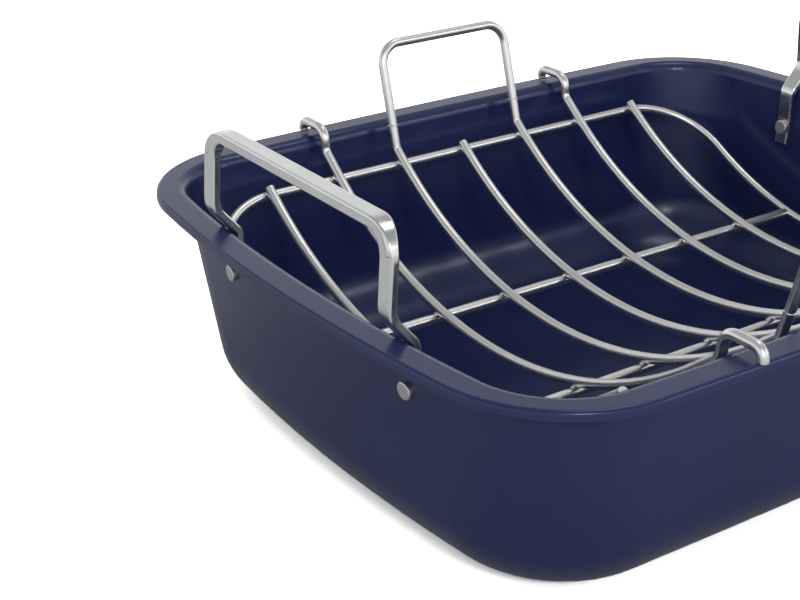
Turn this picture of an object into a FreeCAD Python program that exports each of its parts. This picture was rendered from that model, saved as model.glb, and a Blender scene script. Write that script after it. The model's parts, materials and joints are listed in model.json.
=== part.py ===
import FreeCAD, Part
import math
import os
import Sketcher

# A deep-drawn roasting pan with two riveted end handles, and a welded wire rack hung on its rim.
# Length runs along X, width along Y and height along Z. The origin is the middle of the base, on the table.

SIZES = {
    # pan, measured outside
    "rim_length": 398.0,
    "rim_width": 332.0,
    "rim_corner": 62.5,
    "end_bow": 890.0,
    "side_bow": 6000.0,
    "pan_height": 105.5,
    "sheet": 1.2,
    "flange_width": 11.0,
    "rim_bend": 5.0,
    "lip_depth": 4.0,
    "lip_radius": 1.8,
    "wall_draft": 9.7,
    "wall_corner_top": 40.0,
    "wall_corner_base": 68.0,
    "base_radius": 33.5,
    # end handles
    "handle_span": 138.8,
    "handle_rise": 48.4,
    "handle_corner": 12.0,
    "grip_width": 8.6,
    "grip_thickness": 5.2,
    "grip_edge": 1.2,
    "leg_setback": 8.8,
    "handle_lean": 1.4,
    "leg_width": 9.0,
    "strap_thickness": 3.9,
    "strap_edge": 1.1,
    "jog_above_rim": 10.5,
    "jog_below_rim": 2.3,
    "jog_upper_bend": 11.0,
    "jog_lower_bend": 5.5,
    "seat_bite": 0.3,
    "foot_above_rivet": 6.0,
    "foot_below_rivet": 9.0,
    "foot_bend": 15.0,
    # rivets
    "rivet_drop": 23.2,
    "rivet_shank": 4.8,
    "rivet_head": 8.0,
    "rivet_head_height": 2.0,
    "rivet_head_edge": 0.8,
    # rack
    "rib_wire": 4.9,
    "frame_wire": 4.6,
    "runner_wire": 4.8,
    "weld_depth": 0.3,
    "rack_shift": 3.8,
    "rack_play": 4.45,
    "rack_end_play": 17.6,
    "rack_hang": 18.7,
    "rack_corner": 41.0,
    "cradle_depth": 47.0,
    "frame_step": 9.2,
    "rib_overhang": 1.8,
    "runner_back": 42.8,
    "runner_front": 60.0,
    "hook_landing": 1.8,
    "hook_rise": 5.6,
    "hook_lower_bend": 6.0,
    "hook_upper_bend": 7.0,
    "hook_tip_bend": 4.5,
    "rest_gap": 0.3,
    "bail_height": 52.4,
    "bail_flare": 14.9,
    "bail_run": 7.0,
    "bail_kink": 3.6,
    "bail_stub": 12.5,
    "bail_corner": 11.0,
}

doc = FreeCAD.newDocument("roasting_pan")
sheet = doc.addObject("Spreadsheet::Sheet", "Sizes")
for row, (alias, value) in enumerate(SIZES.items(), start=1):
    sheet.set("A%d" % row, alias)
    sheet.set("B%d" % row, str(value))
    sheet.setAlias("B%d" % row, alias)
doc.recompute()
nodes = []


def size(alias):
    return float(sheet.get(alias))


def vector(x, y, z):
    return FreeCAD.Vector(x, y, z)


def node(obj, label):
    obj.Label = label
    nodes.append(obj)
    return obj


def arc(start, middle, end):
    return Part.Arc(start, middle, end).toShape()


# Pan outline: four slightly bowed sides joined by tangent corner arcs


def outline(half_length, half_width, corner, height):
    end_bow = size("end_bow")
    side_bow = size("side_bow")
    end_centre = half_length - end_bow
    side_centre = half_width - side_bow
    reach_end = end_bow - corner
    reach_side = side_bow - corner
    across = math.hypot(end_centre, side_centre)
    along = (reach_end ** 2 - reach_side ** 2 + across ** 2) / (2 * across)
    aside = math.sqrt(reach_end ** 2 - along ** 2)
    ux, uy = -end_centre / across, side_centre / across
    corner_x = end_centre + along * ux - aside * uy
    corner_y = along * uy + aside * ux
    end_angle = math.atan2(corner_y, corner_x - end_centre)
    side_angle = math.atan2(corner_y - side_centre, corner_x)

    def on_corner(angle, sx, sy):
        return vector(sx * (corner_x + corner * math.cos(angle)), sy * (corner_y + corner * math.sin(angle)), height)

    middle = (end_angle + side_angle) / 2
    edges = []
    for sx, sy in ((1, 1), (-1, 1), (-1, -1), (1, -1)):
        first, last = (end_angle, side_angle) if sx * sy > 0 else (side_angle, end_angle)
        edges.append(arc(on_corner(first, sx, sy), on_corner(middle, sx, sy), on_corner(last, sx, sy)))
        if sx * sy > 0:
            edges.append(arc(on_corner(last, sx, sy), vector(0, sy * half_width, height), on_corner(last, -sx, sy)))
        else:
            edges.append(arc(on_corner(last, sx, sy), vector(sx * half_length, 0, height), on_corner(last, sx, -sy)))
    return Part.Wire(edges)


def slab(half_length, half_width, corner, low, high):
    face = Part.Face(outline(half_length, half_width, corner, low))
    return face.extrude(vector(0, 0, high - low))


def edges_at(shape, height):
    return [e for e in shape.Edges if all(abs(v.Z - height) < 1e-6 for v in e.Vertexes)]


def wall_inset(height):
    lean = size("wall_draft") * (1 - height / size("pan_height"))
    return size("flange_width") + size("rim_bend") - size("sheet") + lean


def wall_corner(height):
    share = height / size("pan_height")
    return size("wall_corner_base") + (size("wall_corner_top") - size("wall_corner_base")) * share


def tub(inset, low, high, bottom_radius):
    wires = []
    for height in (low, high):
        back = wall_inset(height) + inset
        wires.append(outline(size("rim_length") / 2 - back, size("rim_width") / 2 - back,
                             wall_corner(height) - inset, height))
    solid = Part.makeLoft(wires, True, True)
    return solid.makeFillet(bottom_radius, edges_at(solid, low))


def pan_shape():
    sheet_thickness = size("sheet")
    rim = size("pan_height")
    half_length = size("rim_length") / 2
    half_width = size("rim_width") / 2
    lip_low = rim - size("lip_depth")
    lid = slab(half_length, half_width, size("rim_corner"), lip_low, rim)
    lid = lid.makeFillet(size("lip_radius"), edges_at(lid, rim))
    under = slab(half_length - sheet_thickness, half_width - sheet_thickness,
                 size("rim_corner") - sheet_thickness, lip_low, rim - sheet_thickness)
    under = under.makeFillet(size("lip_radius") - sheet_thickness, edges_at(under, rim - sheet_thickness))
    flange = lid.cut(under)
    outside = tub(0.0, 0.0, rim - sheet_thickness / 2, size("base_radius"))
    inside = tub(sheet_thickness, sheet_thickness, rim, size("base_radius") - sheet_thickness)
    pan = outside.fuse(flange).cut(inside)
    keep = size("flange_width") / 2

    def inside_flange(edge):
        return all(abs(v.X) < half_length - keep and abs(v.Y) < half_width - keep for v in edge.Vertexes)

    mouth = [e for e in edges_at(pan, rim) if inside_flange(e)]
    pan = pan.makeFillet(size("rim_bend"), mouth)
    throat = [e for e in edges_at(pan, rim - sheet_thickness) if inside_flange(e)]
    return pan.makeFillet(size("rim_bend") - sheet_thickness, throat).Solids[0]


pan_blank = doc.addObject("Part::Feature", "PanBlank")
pan_blank.Shape = pan_shape()

# Rivet holes: the bore of each rivet stands square to the end wall where the handle foot lies

rivet_height = size("pan_height") - size("rivet_drop")


def wall_point(side, hand):
    bow = size("end_bow")
    across = size("handle_span") / 2
    reach = size("rim_length") / 2 - wall_inset(rivet_height)
    sag = math.sqrt(bow ** 2 - across ** 2)
    point = vector(side * (reach - bow + sag), hand * across, rivet_height)
    slope = size("wall_draft") / size("pan_height")
    normal = vector(side, hand * across / sag, -slope)
    return point, normal.normalize()


def cylinder(name, side, hand, diameter, length, offset):
    point, normal = wall_point(side, hand)
    obj = doc.addObject("Part::Cylinder", name)
    obj.setExpression("Radius", "Sizes.%s / 2" % diameter)
    obj.setExpression("Height", length)
    turn = FreeCAD.Rotation(vector(0, 0, 1), normal)
    obj.Placement = FreeCAD.Placement(point + normal * offset, turn)
    return obj


SIDES = {"left": -1, "right": 1}
HANDS = {"back": 1, "front": -1}
stack = size("sheet") + size("strap_thickness")
bores = {}
for side_name, side in SIDES.items():
    for hand_name, hand in HANDS.items():
        bore = cylinder("Bore_%s_%s" % (side_name, hand_name), side, hand, "rivet_shank",
                        "2 * (Sizes.sheet + Sizes.strap_thickness + Sizes.rivet_head_height)",
                        -stack - 2 * size("rivet_head_height"))
        bores[side_name, hand_name] = bore
bore_set = doc.addObject("Part::MultiFuse", "RivetBores")
bore_set.Shapes = list(bores.values())
pan = doc.addObject("Part::Cut", "Pan")
pan.Base = pan_blank
pan.Tool = bore_set
node(pan, "pan_body")
doc.recompute()


# Paths of straight runs and tangent bends. Two bends that need more than the run between them get tighter.

BEND_SHARE = 0.95


def line(start, end):
    return Part.LineSegment(start, end).toShape()


def bent(corners):
    points = [point for point, _ in corners]
    halves = [(before - corner).getAngle(after - corner) / 2
              for before, corner, after in zip(points, points[1:], points[2:])]
    takes = [0.0] + [radius / math.tan(half) for (_, radius), half in zip(corners[1:], halves)] + [0.0]
    fits = [min(1.0, BEND_SHARE * (following - point).Length / (first + second))
            for point, following, first, second in zip(points, points[1:], takes, takes[1:])]
    edges = []
    last = points[0]
    for i, half in enumerate(halves, start=1):
        corner = points[i]
        back = (points[i - 1] - corner).normalize()
        ahead = (points[i + 1] - corner).normalize()
        inward = (back + ahead).normalize()
        take = takes[i] * min(fits[i - 1], fits[i])
        start = corner + back * take
        end = corner + ahead * take
        middle = corner + inward * (take * math.tan(half) * (1 / math.sin(half) - 1))
        edges.append(line(last, start))
        edges.append(arc(start, middle, end))
        last = end
    edges.append(line(last, points[-1]))
    return edges


def path(name, edges):
    obj = doc.addObject("Part::Feature", name)
    obj.Shape = Part.Wire(edges)
    return obj


def sweep(name, section, spine):
    obj = doc.addObject("Part::Sweep", name)
    obj.Sections = [section]
    obj.Spine = (spine, ["Edge%d" % (i + 1) for i in range(len(spine.Shape.Edges))])
    obj.Solid = True
    obj.Frenet = False
    return obj


def round_wire(name, edges, diameter):
    spine = path(name + "_path", edges)
    section = doc.addObject("Part::Circle", name + "_section")
    section.setExpression("Radius", "Sizes.%s / 2" % diameter)
    first = edges[0]
    along = first.tangentAt(first.FirstParameter)
    turn = FreeCAD.Rotation(vector(0, 0, 1), along)
    section.Placement = FreeCAD.Placement(first.valueAt(first.FirstParameter), turn)
    return sweep(name, section, spine)


# End handles: a rounded bar for the grip, pressed flat through its corner bends into legs that lean outward,
# jog in over the rim, drop clear of the wall and lie on it at the rivets

CORNER_STEPS = 4


def between(first, last, share):
    return "Sizes.%s + %s * (Sizes.%s - Sizes.%s)" % (first, share, last, first)


def bar_value(first, last, share):
    return size(first) + share * (size(last) - size(first))


def rounded_bar(name, share, place):
    sketch = doc.addObject("Sketcher::SketchObject", name)
    radius = bar_value("grip_edge", "strap_edge", share)
    run = bar_value("grip_width", "strap_thickness", share) / 2 - radius
    rise = bar_value("grip_thickness", "leg_width", share) / 2 - radius
    up = vector(0, 0, 1)
    centres = [(run, -rise), (run, rise), (-run, rise), (-run, -rise)]
    for quarter, (cx, cy) in enumerate(centres):
        first = (quarter - 1) * math.pi / 2
        circle = Part.Circle(vector(cx, cy, 0), up, radius)
        sketch.addGeometry(Part.ArcOfCircle(circle, first, first + math.pi / 2))
    for quarter in range(4):
        this = sketch.Geometry[quarter]
        following = sketch.Geometry[(quarter + 1) % 4]
        sketch.addGeometry(Part.LineSegment(this.EndPoint, following.StartPoint))
    for quarter in range(4):
        sketch.addConstraint(Sketcher.Constraint("Tangent", quarter, 2, quarter + 4, 1))
        sketch.addConstraint(Sketcher.Constraint("Tangent", quarter + 4, 2, (quarter + 1) % 4, 1))
    sketch.addConstraint(Sketcher.Constraint("Vertical", 4))
    sketch.addConstraint(Sketcher.Constraint("Horizontal", 5))
    for quarter in range(1, 4):
        sketch.addConstraint(Sketcher.Constraint("Equal", 0, quarter))
    sketch.addConstraint(Sketcher.Constraint("Symmetric", 0, 3, 2, 3, -1, 1))
    sketch.addConstraint(Sketcher.Constraint("Horizontal", 7))
    across = sketch.addConstraint(Sketcher.Constraint("DistanceX", 3, 3, 0, 3, 2 * run))
    tall = sketch.addConstraint(Sketcher.Constraint("DistanceY", 0, 3, 1, 3, 2 * rise))
    bend = sketch.addConstraint(Sketcher.Constraint("Radius", 0, radius))
    edge = between("grip_edge", "strap_edge", share)
    sketch.setExpression("Constraints[%d]" % across,
                         "%s - 2 * (%s)" % (between("grip_width", "strap_thickness", share), edge))
    sketch.setExpression("Constraints[%d]" % tall,
                         "%s - 2 * (%s)" % (between("grip_thickness", "leg_width", share), edge))
    sketch.setExpression("Constraints[%d]" % bend, edge)
    sketch.Placement = place
    return sketch


def handle(side_name, side):
    label = "handle_" + side_name
    rim = size("pan_height")
    across = size("handle_span") / 2
    leg_outer = size("rim_length") / 2 - size("leg_setback")
    outer = leg_outer - size("handle_lean")
    corner = size("handle_corner")
    grip_z = rim + size("handle_rise") - size("grip_thickness") / 2
    half_strap = size("strap_thickness") / 2

    def foot_x(height):
        bow = size("end_bow")
        reach = size("rim_length") / 2 - wall_inset(height) - size("sheet")
        reach += math.sqrt(bow ** 2 - across ** 2) - bow
        return side * (reach - half_strap + size("seat_bite"))

    def corner_section(name, hand, turn):
        share = math.sin(turn) ** 2
        x = side * (outer - bar_value("grip_width", "strap_thickness", share) / 2)
        y = hand * (across - corner + corner * math.sin(turn))
        z = grip_z - corner + corner * math.cos(turn)
        tilt = FreeCAD.Rotation(vector(1, 0, 0), 90 - hand * math.degrees(turn))
        return rounded_bar(name, share, FreeCAD.Placement(vector(x, y, z), tilt))

    jog_high = rim + size("jog_above_rim")
    jog_low = rim - size("jog_below_rim")
    knee_z = rivet_height + size("foot_above_rivet")
    foot_z = rivet_height - size("foot_below_rivet")
    pieces = []
    for hand_name, hand in HANDS.items():
        name = "%s_%s" % (label, hand_name)
        y = hand * across
        sections = []
        for step in range(CORNER_STEPS + 1):
            turn = step / CORNER_STEPS * math.pi / 2
            sections.append(corner_section("%s_section_%d" % (name, step), hand, turn))
        bend = doc.addObject("Part::Loft", name + "_corner")
        bend.Sections = sections
        bend.Solid = True
        leg_path = path(name + "_leg_path", bent([
            (vector(side * (outer - half_strap), y, grip_z - corner), 0),
            (vector(side * (leg_outer - half_strap), y, jog_high), size("jog_upper_bend")),
            (vector(foot_x(knee_z), y, jog_low), size("jog_lower_bend")),
            (vector(foot_x(knee_z), y, knee_z), size("foot_bend")),
            (vector(foot_x(foot_z), y, foot_z), 0)]))
        pieces.append(bend)
        pieces.append(sweep(name + "_leg", sections[-1], leg_path))
    grip_x = side * (outer - size("grip_width") / 2)
    straight = across - corner
    grip_path = path(label + "_grip_path", [line(vector(grip_x, -straight, grip_z), vector(grip_x, straight, grip_z))])
    grip_section = corner_section(label + "_grip_section", HANDS["front"], 0.0)
    pieces.append(sweep(label + "_grip", grip_section, grip_path))
    bar = doc.addObject("Part::MultiFuse", label + "_bar")
    bar.Shapes = pieces
    bar.Refine = True
    seated = doc.addObject("Part::Cut", label + "_seated")
    seated.Base = bar
    seated.Tool = pan_blank
    drilled = doc.addObject("Part::Cut", label)
    drilled.Base = seated
    drilled.Tool = bore_set
    return node(drilled, label)


handles = {side_name: handle(side_name, side) for side_name, side in SIDES.items()}
doc.recompute()


# Rivets: a rounded flat head outside, a shank through wall and foot, and a second head clinched inside


def rounded_head(name, side, hand, offset, outward):
    disc = cylinder(name + "_disc", side, hand, "rivet_head", "Sizes.rivet_head_height + Sizes.seat_bite", offset)
    doc.recompute()
    normal = wall_point(side, hand)[1] * outward
    rims = [i for i, e in enumerate(disc.Shape.Edges) if e.Closed]
    face_edge = max(rims, key=lambda i: disc.Shape.Edges[i].CenterOfMass.dot(normal))
    head = doc.addObject("Part::Fillet", name)
    head.Base = disc
    head.Edges = [(face_edge + 1, size("rivet_head_edge"), size("rivet_head_edge"))]
    return head


def rivet(side_name, hand_name):
    label = "rivet_%s_%s" % (side_name, hand_name)
    side = SIDES[side_name]
    hand = HANDS[hand_name]
    bite = size("seat_bite")
    head = rounded_head(label + "_head", side, hand, -bite, 1)
    shank = cylinder(label + "_shank", side, hand, "rivet_shank", "Sizes.sheet + Sizes.strap_thickness", -stack)
    clinch = rounded_head(label + "_clinch", side, hand, -stack - size("rivet_head_height"), -1)
    blank = doc.addObject("Part::MultiFuse", label + "_blank")
    blank.Shapes = [head, shank, clinch]
    off_pan = doc.addObject("Part::Cut", label + "_off_pan")
    off_pan.Base = blank
    off_pan.Tool = pan
    off_handle = doc.addObject("Part::Cut", label)
    off_handle.Base = off_pan
    off_handle.Tool = handles[side_name]
    return node(off_handle, label)


for side_name in SIDES:
    for hand_name in HANDS:
        rivet(side_name, hand_name)

# Rack: seven cradle wires on a ring and two runners, hung inside the pan's mouth

RIB_COUNT = 7
frame_drop = (size("rib_wire") + size("frame_wire")) / 2 - size("weld_depth")
runner_drop = (size("rib_wire") + size("runner_wire")) / 2 - size("weld_depth")
mouth_width = size("rim_width") / 2 - size("flange_width") - size("rim_bend")
mouth_length = size("rim_length") / 2 - size("flange_width") - size("rim_bend")
hook_leg = mouth_width - size("rack_play") - size("rib_wire") / 2
frame_y = hook_leg - size("frame_step")
frame_z = size("pan_height") - size("rack_hang")
frame_x = mouth_length - size("strap_thickness") - size("rack_end_play") - size("frame_wire") / 2
frame_low = frame_z - size("cradle_depth")
frame_radius = (frame_y ** 2 + size("cradle_depth") ** 2) / (2 * size("cradle_depth"))
frame_angle = math.asin(frame_y / frame_radius)
rib_radius = frame_radius - frame_drop
rib_centre = frame_low + frame_radius
rib_pitch = 2 * frame_x / (RIB_COUNT + 1)
rack_x = -size("rack_shift")


def on_rib(x, angle):
    return vector(x, rib_radius * math.sin(angle), rib_centre - rib_radius * math.cos(angle))


def cradle(x, angle):
    return arc(on_rib(x, -angle), on_rib(x, 0), on_rib(x, angle))


def both_ends(x, corners):
    near = [(vector(p.x, -p.y, p.z), r) for p, r in reversed(corners)]
    return bent(near) + [cradle(x, frame_angle)] + bent(corners)


def plain_rib(x):
    return [cradle(x, frame_angle + size("rib_overhang") / rib_radius)]


def hook_rib(x):
    start = on_rib(x, frame_angle)
    high = size("pan_height") + size("hook_rise")
    tip = size("rim_width") / 2 - size("hook_landing")
    return both_ends(x, [
        (start, 0),
        (vector(x, hook_leg, start.z + (hook_leg - start.y) * math.tan(frame_angle)), size("hook_lower_bend")),
        (vector(x, hook_leg, high), size("hook_upper_bend")),
        (vector(x, tip, high), size("hook_tip_bend")),
        (vector(x, tip, size("pan_height") + size("rest_gap")), 0)])


bail_rise = vector(0, size("bail_flare"), size("bail_height"))
kink = on_rib(0, frame_angle) + vector(0, math.cos(frame_angle), math.sin(frame_angle)) * size("bail_run")
seam = kink + bail_rise * (size("bail_stub") / bail_rise.Length)
bail_top = kink + bail_rise


def bail_rib(x):
    side = vector(x, 0, 0)
    return both_ends(x, [(on_rib(x, frame_angle), 0), (kink + side, size("bail_kink")), (seam + side, 0)])


RIBS = (plain_rib, hook_rib, bail_rib, plain_rib, bail_rib, hook_rib, plain_rib)
middle_rib = (RIB_COUNT - 1) / 2
for number, make in enumerate(RIBS):
    x = rack_x + (number - middle_rib) * rib_pitch
    label = "rack_rib_%d" % (number + 1)
    node(round_wire(label, make(x), "rib_wire"), label)

for hand_name, hand in HANDS.items():
    label = "rack_handle_" + hand_name
    left = rack_x - rib_pitch
    right = rack_x + rib_pitch
    corners = [(seam, left, 0), (bail_top, left, size("bail_corner")),
               (bail_top, right, size("bail_corner")), (seam, right, 0)]
    corners = [(vector(x, hand * p.y, p.z), r) for p, x, r in corners]
    node(round_wire(label, bent(corners), "rib_wire"), label)

# Ring: straight sides, tangent corner bends, and ends that dip under the cradle


def ring_half(side):
    corner = size("rack_corner")
    dip = 2 * math.atan((frame_z - frame_low) / (frame_y + corner))
    out = vector(side, 0, 0)
    back_down = vector(0, -math.cos(dip), -math.sin(dip))
    back_corner = vector(rack_x + side * frame_x, frame_y, frame_z)
    start = back_corner - out * corner
    end = back_corner + back_down * corner
    centre = start + back_down * corner
    middle = centre + (out - back_down) * (corner / math.sqrt(2))

    def front(p):
        return vector(p.x, -p.y, p.z)

    return [
        line(vector(rack_x, frame_y, frame_z), start),
        arc(start, middle, end),
        arc(end, vector(back_corner.x, 0, frame_low), front(end)),
        arc(front(end), front(middle), front(start)),
        line(front(start), vector(rack_x, -frame_y, frame_z))]


halves = [round_wire("ring_" + side_name, ring_half(side), "frame_wire") for side_name, side in SIDES.items()]
ring = doc.addObject("Part::MultiFuse", "Ring")
ring.Shapes = halves
ring.Refine = True
node(ring, "rack_frame")

for hand_name, hand in HANDS.items():
    label = "rack_runner_" + hand_name
    y = hand * size("runner_" + hand_name)
    z = rib_centre - math.sqrt((rib_radius + runner_drop) ** 2 - y ** 2)
    reach = frame_x - size("frame_wire") / 2 + size("weld_depth")
    run = line(vector(rack_x - reach, y, z), vector(rack_x + reach, y, z))
    node(round_wire(label, [run], "runner_wire"), label)

doc.recompute()
for obj in doc.Objects:
    if "Invalid" in obj.State or "Error" in obj.State:
        raise RuntimeError("%s is %s" % (obj.Label, obj.State))
for obj in nodes:
    if obj.Shape.isNull() or not obj.Shape.isValid() or len(obj.Shape.Solids) != 1:
        raise RuntimeError("%s has no single valid solid" % obj.Label)
os.makedirs("parts", exist_ok=True)
for obj in nodes:
    obj.Shape.exportStep("parts/%s.step" % obj.Label)
print(len(nodes), "parts")
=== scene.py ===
import json
import math

import bmesh
import bpy
from mathutils import Matrix, Vector


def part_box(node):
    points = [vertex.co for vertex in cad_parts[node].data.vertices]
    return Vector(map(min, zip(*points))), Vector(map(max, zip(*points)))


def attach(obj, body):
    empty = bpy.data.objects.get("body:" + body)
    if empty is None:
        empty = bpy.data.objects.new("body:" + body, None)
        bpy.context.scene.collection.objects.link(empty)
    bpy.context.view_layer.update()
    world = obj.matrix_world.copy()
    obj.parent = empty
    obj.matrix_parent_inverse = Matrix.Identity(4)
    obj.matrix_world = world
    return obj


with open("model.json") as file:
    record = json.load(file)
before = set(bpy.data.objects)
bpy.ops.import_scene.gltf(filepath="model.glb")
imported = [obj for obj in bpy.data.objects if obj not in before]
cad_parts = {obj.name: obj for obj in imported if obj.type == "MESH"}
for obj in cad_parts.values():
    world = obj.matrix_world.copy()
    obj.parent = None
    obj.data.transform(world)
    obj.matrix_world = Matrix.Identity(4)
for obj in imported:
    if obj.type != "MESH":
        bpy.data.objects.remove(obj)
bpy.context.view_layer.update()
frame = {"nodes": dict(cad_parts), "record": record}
scene = bpy.context.scene
MM = 0.001


# Node helpers

NOISE_LOW = 0.3
NOISE_HIGH = 0.7


def add(tree, kind, **values):
    made = tree.nodes.new(kind)
    for socket, value in values.items():
        made.inputs[socket.replace("_", " ")].default_value = value
    return made


def new_material(name):
    material = bpy.data.materials.new(name)
    material.use_nodes = True
    tree = material.node_tree
    tree.nodes.clear()
    output = add(tree, "ShaderNodeOutputMaterial")
    shader = add(tree, "ShaderNodeBsdfPrincipled")
    tree.links.new(shader.outputs["BSDF"], output.inputs["Surface"])
    return material, tree, shader


def object_space(tree, scale=(1, 1, 1)):
    coords = add(tree, "ShaderNodeTexCoord")
    mapping = add(tree, "ShaderNodeMapping", Scale=scale)
    tree.links.new(coords.outputs["Object"], mapping.inputs["Vector"])
    return mapping.outputs["Vector"]


def noise(tree, place, scale, detail=3.0, rough=0.55):
    made = add(tree, "ShaderNodeTexNoise", Scale=scale, Detail=detail, Roughness=rough)
    tree.links.new(place, made.inputs["Vector"])
    return made.outputs["Fac"]


def spread(tree, value, low, high, start=NOISE_LOW, end=NOISE_HIGH):
    made = add(tree, "ShaderNodeMapRange", From_Min=start, From_Max=end, To_Min=low, To_Max=high)
    tree.links.new(value, made.inputs["Value"])
    return made.outputs["Result"]


def tint(tree, value, deep, pale):
    ramp = add(tree, "ShaderNodeValToRGB")
    first, last = ramp.color_ramp.elements
    first.position = NOISE_LOW
    first.color = (*deep, 1)
    last.position = NOISE_HIGH
    last.color = (*pale, 1)
    tree.links.new(value, ramp.inputs["Fac"])
    return ramp.outputs["Color"]


def bump(tree, shader, value, depth, strength, before=None):
    made = add(tree, "ShaderNodeBump", Strength=strength, Distance=depth)
    tree.links.new(value, made.inputs["Height"])
    if before is not None:
        tree.links.new(before, made.inputs["Normal"])
    tree.links.new(made.outputs["Normal"], shader.inputs["Normal"])
    return made.outputs["Normal"]


def mix_shaders(tree, share, first, second):
    made = add(tree, "ShaderNodeMixShader")
    tree.links.new(share, made.inputs["Fac"])
    tree.links.new(first, made.inputs[1])
    tree.links.new(second, made.inputs[2])
    return made.outputs["Shader"]


def any_of(tree, first, second):
    made = add(tree, "ShaderNodeMath")
    made.operation = "MAXIMUM"
    tree.links.new(first, made.inputs[0])
    tree.links.new(second, made.inputs[1])
    return made.outputs["Value"]


def camera_ray(tree):
    return add(tree, "ShaderNodeLightPath").outputs["Is Camera Ray"]


def reflection_ray(tree):
    ray = add(tree, "ShaderNodeLightPath")
    return any_of(tree, ray.outputs["Is Glossy Ray"], ray.outputs["Is Transmission Ray"])


# Navy satin coating: clouded colour, smeared gloss, orange peel and fine flecks

COAT_DEEP = (0.0146, 0.0234, 0.094)
COAT_PALE = (0.0170, 0.0266, 0.105)
COAT_SMOOTHEST = 0.20
COAT_ROUGHEST = 0.26
COAT_IOR = 1.52
COAT_GLOSS_TINT = (0.82, 0.88, 1.0, 1.0)
PEEL_DEPTH = 0.03 * MM
FLECK_DEPTH = 0.02 * MM


def coating(name):
    material, tree, shader = new_material(name)
    place = object_space(tree)
    cloud = noise(tree, place, scale=22.0, detail=4.0)
    tree.links.new(tint(tree, cloud, COAT_DEEP, COAT_PALE), shader.inputs["Base Color"])
    smear = noise(tree, place, scale=60.0, detail=5.0, rough=0.6)
    tree.links.new(spread(tree, smear, COAT_SMOOTHEST, COAT_ROUGHEST), shader.inputs["Roughness"])
    shader.inputs["IOR"].default_value = COAT_IOR
    shader.inputs["Specular Tint"].default_value = COAT_GLOSS_TINT
    peel = noise(tree, place, scale=900.0, detail=2.0)
    peeled = bump(tree, shader, peel, PEEL_DEPTH, strength=0.6)
    fleck = noise(tree, place, scale=2200.0, detail=1.0)
    bump(tree, shader, fleck, FLECK_DEPTH, strength=0.8, before=peeled)
    return material


# Steel: polished on the handles, darker on the rivets, satin on the rack's wires

STEELS = {
    "handle_steel": {
        "deep": (0.735, 0.745, 0.75),
        "pale": (0.80, 0.81, 0.81),
        "smoothest": 0.18,
        "roughest": 0.25,
        "scratch_depth": 0.010 * MM,
    },
    "rivet_steel": {
        "deep": (0.56, 0.55, 0.55),
        "pale": (0.66, 0.65, 0.64),
        "smoothest": 0.32,
        "roughest": 0.42,
        "scratch_depth": 0.015 * MM,
    },
    "rack_wire": {
        "deep": (0.78, 0.78, 0.78),
        "pale": (0.84, 0.84, 0.835),
        "smoothest": 0.29,
        "roughest": 0.35,
        "scratch_depth": 0.001 * MM,
    },
}
SCRATCH_STRETCH = (1.0, 0.12, 1.0)


def steel(name, deep, pale, smoothest, roughest, scratch_depth):
    material, tree, shader = new_material(name)
    place = object_space(tree)
    cloud = noise(tree, place, scale=70.0, detail=4.0)
    tree.links.new(tint(tree, cloud, deep, pale), shader.inputs["Base Color"])
    shader.inputs["Metallic"].default_value = 1.0
    smear = noise(tree, place, scale=240.0, detail=5.0, rough=0.65)
    tree.links.new(spread(tree, smear, smoothest, roughest), shader.inputs["Roughness"])
    scratch = noise(tree, object_space(tree, SCRATCH_STRETCH), scale=1500.0)
    bump(tree, shader, scratch, scratch_depth, strength=0.5)
    return material


MATERIALS = {"pan_coating": coating("pan_coating")}
for slot, finish in STEELS.items():
    MATERIALS[slot] = steel(slot, **finish)
for part in frame["record"]["subparts"]:
    shown = frame["nodes"][part["node"]]
    shown.data.materials.clear()
    shown.data.materials.append(MATERIALS[part["material_slot"]])


# Camera at the photograph's viewpoint

AZIMUTH = math.radians(-34.608)
ELEVATION = math.radians(23.143)
ROLL = math.radians(-0.194)
EYE = Vector((-503.6, -541.8, 385.0)) * MM
UP = Vector((0, 0, 1))


def camera_turn():
    back = Vector(
        (
            math.sin(AZIMUTH) * math.cos(ELEVATION),
            -math.cos(AZIMUTH) * math.cos(ELEVATION),
            math.sin(ELEVATION),
        )
    )
    level = UP.cross(back).normalized()
    plumb = back.cross(level)
    right = level * math.cos(ROLL) + plumb * math.sin(ROLL)
    upward = plumb * math.cos(ROLL) - level * math.sin(ROLL)
    return Matrix((right, upward, back)).transposed().to_4x4()


lens = bpy.data.cameras.new("camera")
lens.sensor_width = 36.0
lens.lens = 74.35
lens.shift_x = -0.0121
lens.shift_y = -0.0579
lens.clip_start = 0.05
lens.clip_end = 50.0
camera = bpy.data.objects.new("camera", lens)
camera.matrix_world = Matrix.Translation(EYE) @ camera_turn()
scene.collection.objects.link(camera)
scene.camera = camera


# Paper floor: grey in the light that it bounces, pale in reflections but darkened near the pan by painted
# shade, white but for the shadow to the camera

FLOOR_SIZE = 12.0
FLOOR_DROP = 0.3 * MM
BOUNCE_DEEP = (0.66, 0.66, 0.66)
BOUNCE_PALE = (0.68, 0.68, 0.68)
WHITE_DEEP = (4.05, 4.0, 3.8)
WHITE_PALE = (4.15, 4.1, 3.9)
# Painted shade: reflections see the floor darker within these reaches of the pan, standing in for its
# contact shade
REFLECTED_PAINTED_SHADE = 0.58
REFLECTED_FAR = 0.86
PAINTED_SHADE_REACH = 0.26
PAINTED_SHADE_FADE_REACH = 0.42


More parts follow.
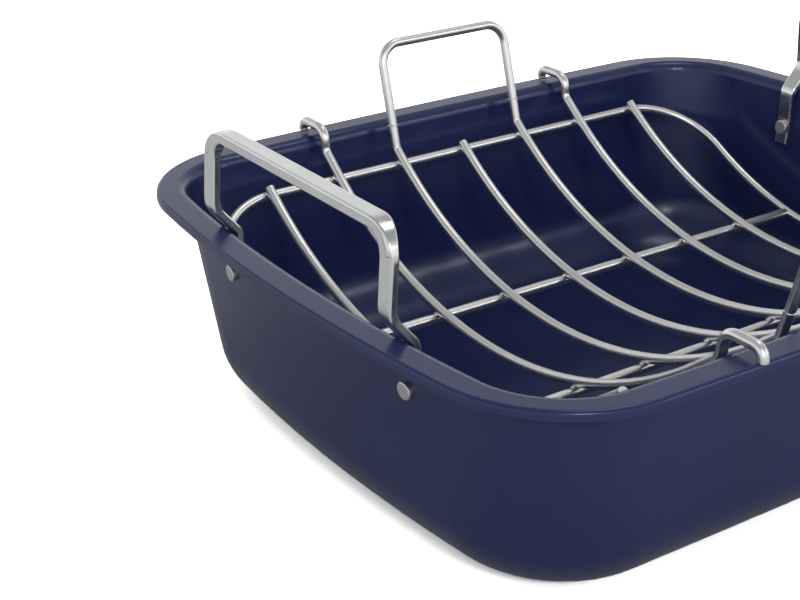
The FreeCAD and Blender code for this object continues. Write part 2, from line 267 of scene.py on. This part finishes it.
def floor_paper():
    material, tree, bounce = new_material("floor_paper")
    spot = object_space(tree)
    grain = noise(tree, spot, scale=14.0)
    tree.links.new(tint(tree, grain, BOUNCE_DEEP, BOUNCE_PALE), bounce.inputs["Base Color"])
    bounce.inputs["Roughness"].default_value = 0.9
    bounce.inputs["Specular IOR Level"].default_value = 0.0
    away = add(tree, "ShaderNodeVectorMath")
    away.operation = "LENGTH"
    tree.links.new(spot, away.inputs[0])
    # Painted shade on the reflected floor, darker towards the pan
    painted_shade = spread(tree, away.outputs["Value"], REFLECTED_PAINTED_SHADE, REFLECTED_FAR, PAINTED_SHADE_REACH, PAINTED_SHADE_FADE_REACH)
    reflected = add(tree, "ShaderNodeBsdfDiffuse")
    tree.links.new(painted_shade, reflected.inputs["Color"])
    white = add(tree, "ShaderNodeBsdfDiffuse")
    tree.links.new(tint(tree, grain, WHITE_DEEP, WHITE_PALE), white.inputs["Color"])
    unseen = mix_shaders(tree, reflection_ray(tree), bounce.outputs["BSDF"], reflected.outputs["BSDF"])
    paper = mix_shaders(tree, camera_ray(tree), unseen, white.outputs["BSDF"])
    tree.links.new(paper, tree.nodes["Material Output"].inputs["Surface"])
    return material


bpy.ops.mesh.primitive_plane_add(size=FLOOR_SIZE, location=(0, 0, -FLOOR_DROP))
floor = bpy.context.object
floor.name = "floor"
floor.data.materials.append(floor_paper())


# Pale dome, in steps of height and brightness: one lights the object, one is seen and reflected

LIGHTING_DOME = ((0.48, 0.73), (0.66, 0.36))
SHOWN_DOME = ((0.20, 1.0), (0.37, 0.76), (0.48, 0.76), (0.66, 0.38))


def dome(tree, stops):
    where = add(tree, "ShaderNodeTexCoord")
    split = add(tree, "ShaderNodeSeparateXYZ")
    tree.links.new(where.outputs["Generated"], split.inputs["Vector"])
    ramp = add(tree, "ShaderNodeValToRGB")
    for height, _ in stops[1:-1]:
        ramp.color_ramp.elements.new(height)
    for element, (height, brightness) in zip(ramp.color_ramp.elements, stops):
        element.position = height
        element.color = (brightness, brightness, brightness, 1)
    tree.links.new(split.outputs["Z"], ramp.inputs["Fac"])
    made = add(tree, "ShaderNodeBackground", Strength=1.0)
    tree.links.new(ramp.outputs["Color"], made.inputs["Color"])
    return made.outputs["Background"]


def studio():
    world = bpy.data.worlds.new("studio")
    world.use_nodes = True
    tree = world.node_tree
    tree.nodes.clear()
    output = add(tree, "ShaderNodeOutputWorld")
    shown_ray = any_of(tree, camera_ray(tree), reflection_ray(tree))
    sky = mix_shaders(tree, shown_ray, dome(tree, LIGHTING_DOME), dome(tree, SHOWN_DOME))
    tree.links.new(sky, output.inputs["Surface"])
    return world


scene.world = studio()


# Soft lights

PAN_MIDDLE = Vector((0, 0, 0.05))
PAN_FOOT = Vector((0, 0, 0))


def softbox(name, place, target, width, height, power):
    light = bpy.data.lights.new(name, "AREA")
    light.shape = "RECTANGLE"
    light.size = width
    light.size_y = height
    light.energy = power
    made = bpy.data.objects.new(name, light)
    made.location = place
    made.rotation_mode = "QUATERNION"
    made.rotation_quaternion = (target - Vector(place)).to_track_quat("-Z", "Y")
    scene.collection.objects.link(made)


softbox("overhead", place=(0.5, 0.1, 1.6), target=PAN_FOOT, width=0.5, height=0.5, power=2.5)
softbox("front", place=(-0.6, -1.33, 0.95), target=PAN_MIDDLE, width=0.35, height=0.2, power=4.6)
softbox("side", place=(1.0, -1.3, 0.8), target=PAN_MIDDLE, width=0.4, height=0.15, power=1.2)


# Rack welds: an uneven saddle where wires cross, and a thin ridge where each bail is butt-welded to a rib

SADDLE = Vector((3.1, 1.5, 1.0)) * MM
RIDGE_RISE = 0.35 * MM
RIDGE_HALF = 0.7 * MM
NUGGET_DETAIL = 3
UNEVEN = 0.10
WAVES_ALONG = 5
WAVES_ACROSS = 4
RIBS = sorted(name for name in frame["nodes"] if name.startswith("rack_rib"))


def nugget(mesh, place, lean, radii):
    turn = Matrix.Rotation(lean, 3, "X")
    made = bmesh.ops.create_icosphere(mesh, subdivisions=NUGGET_DETAIL, radius=1.0)
    for vert in made["verts"]:
        along = math.sin(WAVES_ALONG * vert.co.x + place.x / MM)
        across = math.sin(WAVES_ACROSS * vert.co.y + place.y / MM)
        swell = 1 + UNEVEN * along * across
        vert.co = place + turn @ Vector([vert.co[axis] * radii[axis] * swell for axis in range(3)])


def add_saddles(mesh):
    ring_low, ring_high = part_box("rack_frame")
    runners = [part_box("rack_runner_back"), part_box("rack_runner_front")]
    runner_low, runner_high = runners[0]
    wire = (runner_high.z - runner_low.z) / 2
    side_y = ring_high.y - wire
    side_z = ring_high.z - wire
    cradle_depth = ring_high.z - ring_low.z - 2 * wire
    cradle_radius = side_y / math.sin(2 * math.atan(cradle_depth / side_y))
    crossings = [(side_y, side_z), (-side_y, side_z)]
    for low, high in runners:
        crossings.append(((low.y + high.y) / 2, (low.z + high.z) / 2))
    for rib in RIBS:
        low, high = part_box(rib)
        for y, z in crossings:
            lean = math.asin(y / cradle_radius)
            crest = Vector(((low.x + high.x) / 2, y - wire * math.sin(lean), z + wire * math.cos(lean)))
            nugget(mesh, crest, lean, SADDLE)


def add_ridges(mesh):
    rib_low, rib_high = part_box(RIBS[-1])
    wire = (rib_high.x - rib_low.x) / 2
    radii = Vector((wire + RIDGE_RISE, wire + RIDGE_RISE, RIDGE_HALF))
    for bail, hand in (("rack_handle_back", 1), ("rack_handle_front", -1)):
        low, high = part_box(bail)
        inner_y = min(abs(low.y), abs(high.y)) + wire
        outer_y = max(abs(low.y), abs(high.y)) - wire
        lean = math.atan2(outer_y - inner_y, high.z - wire - low.z)
        seam_z = low.z + wire * math.sin(lean)
        for x in (low.x + wire, high.x - wire):
            nugget(mesh, Vector((x, hand * inner_y, seam_z)), -hand * lean, radii)


def rack_welds():
    mesh = bmesh.new()
    add_saddles(mesh)
    add_ridges(mesh)
    data = bpy.data.meshes.new("rack_welds")
    mesh.to_mesh(data)
    mesh.free()
    for face in data.polygons:
        face.use_smooth = True
    made = bpy.data.objects.new("rack_welds", data)
    scene.collection.objects.link(made)
    made.data.materials.append(MATERIALS["rack_wire"])
    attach(made, "rack")


rack_welds()


# Forming creases: a low tongue on the outer face of each handle leg, tapering up into the corner bend

CORNER = 12.0 * MM
CREASE_REACH = 8.9 * MM
CREASE_DROP = 0.9 * MM
CREASE_SWEEP = math.radians(66)
CREASE_THICK = 2.4 * MM
CREASE_SINK = 1.45 * MM
CREASE_STEPS = 28
CREASE_TIP = 0.12
CREASE_TAPER = 0.3
CREASE_ROUNDNESS = 6


def crease_path():
    straight = CREASE_DROP + CREASE_THICK * CREASE_TIP
    whole = straight + CREASE_REACH * CREASE_SWEEP
    for step in range(CREASE_STEPS + 1):
        share = step / CREASE_STEPS
        along = share * whole - straight
        turn = max(along, 0) / CREASE_REACH
        across = CREASE_REACH * math.cos(turn)
        rise = CREASE_REACH * math.sin(turn) + min(along, 0)
        thick = min(1.0, math.sqrt(share / CREASE_TIP)) * (1 - share) ** CREASE_TAPER
        yield across, rise, thick


def crease_points(handle, side, hand):
    low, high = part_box(handle)
    inward = Vector((-side, 0, 0))
    start_x = (low.x if side < 0 else high.x) - inward.x * CORNER
    for across, rise, thick in crease_path():
        start = Vector((start_x, hand * (high.y - CORNER + across), high.z - CORNER + rise))
        found, place, _, _ = frame["nodes"][handle].ray_cast(start, inward, distance=2 * CORNER)
        if found:
            yield place + inward * CREASE_SINK, thick


def crease(name, handle, side, hand):
    points = list(crease_points(handle, side, hand))
    curve = bpy.data.curves.new(name, "CURVE")
    curve.dimensions = "3D"
    curve.bevel_depth = CREASE_THICK
    curve.bevel_resolution = CREASE_ROUNDNESS
    curve.use_fill_caps = True
    spline = curve.splines.new("POLY")
    spline.points.add(len(points) - 1)
    for knot, (place, thick) in zip(spline.points, points):
        knot.co = (*place, 1)
        knot.radius = thick
    made = bpy.data.objects.new(name, curve)
    scene.collection.objects.link(made)
    made.data.materials.append(MATERIALS["handle_steel"])
    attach(made, "pan")


bpy.context.view_layer.update()
for side_name, side in (("left", -1), ("right", 1)):
    for hand_name, hand in (("back", 1), ("front", -1)):
        crease("crease_%s_%s" % (side_name, hand_name), "handle_" + side_name, side, hand)

scene.view_settings.view_transform = "Standard"
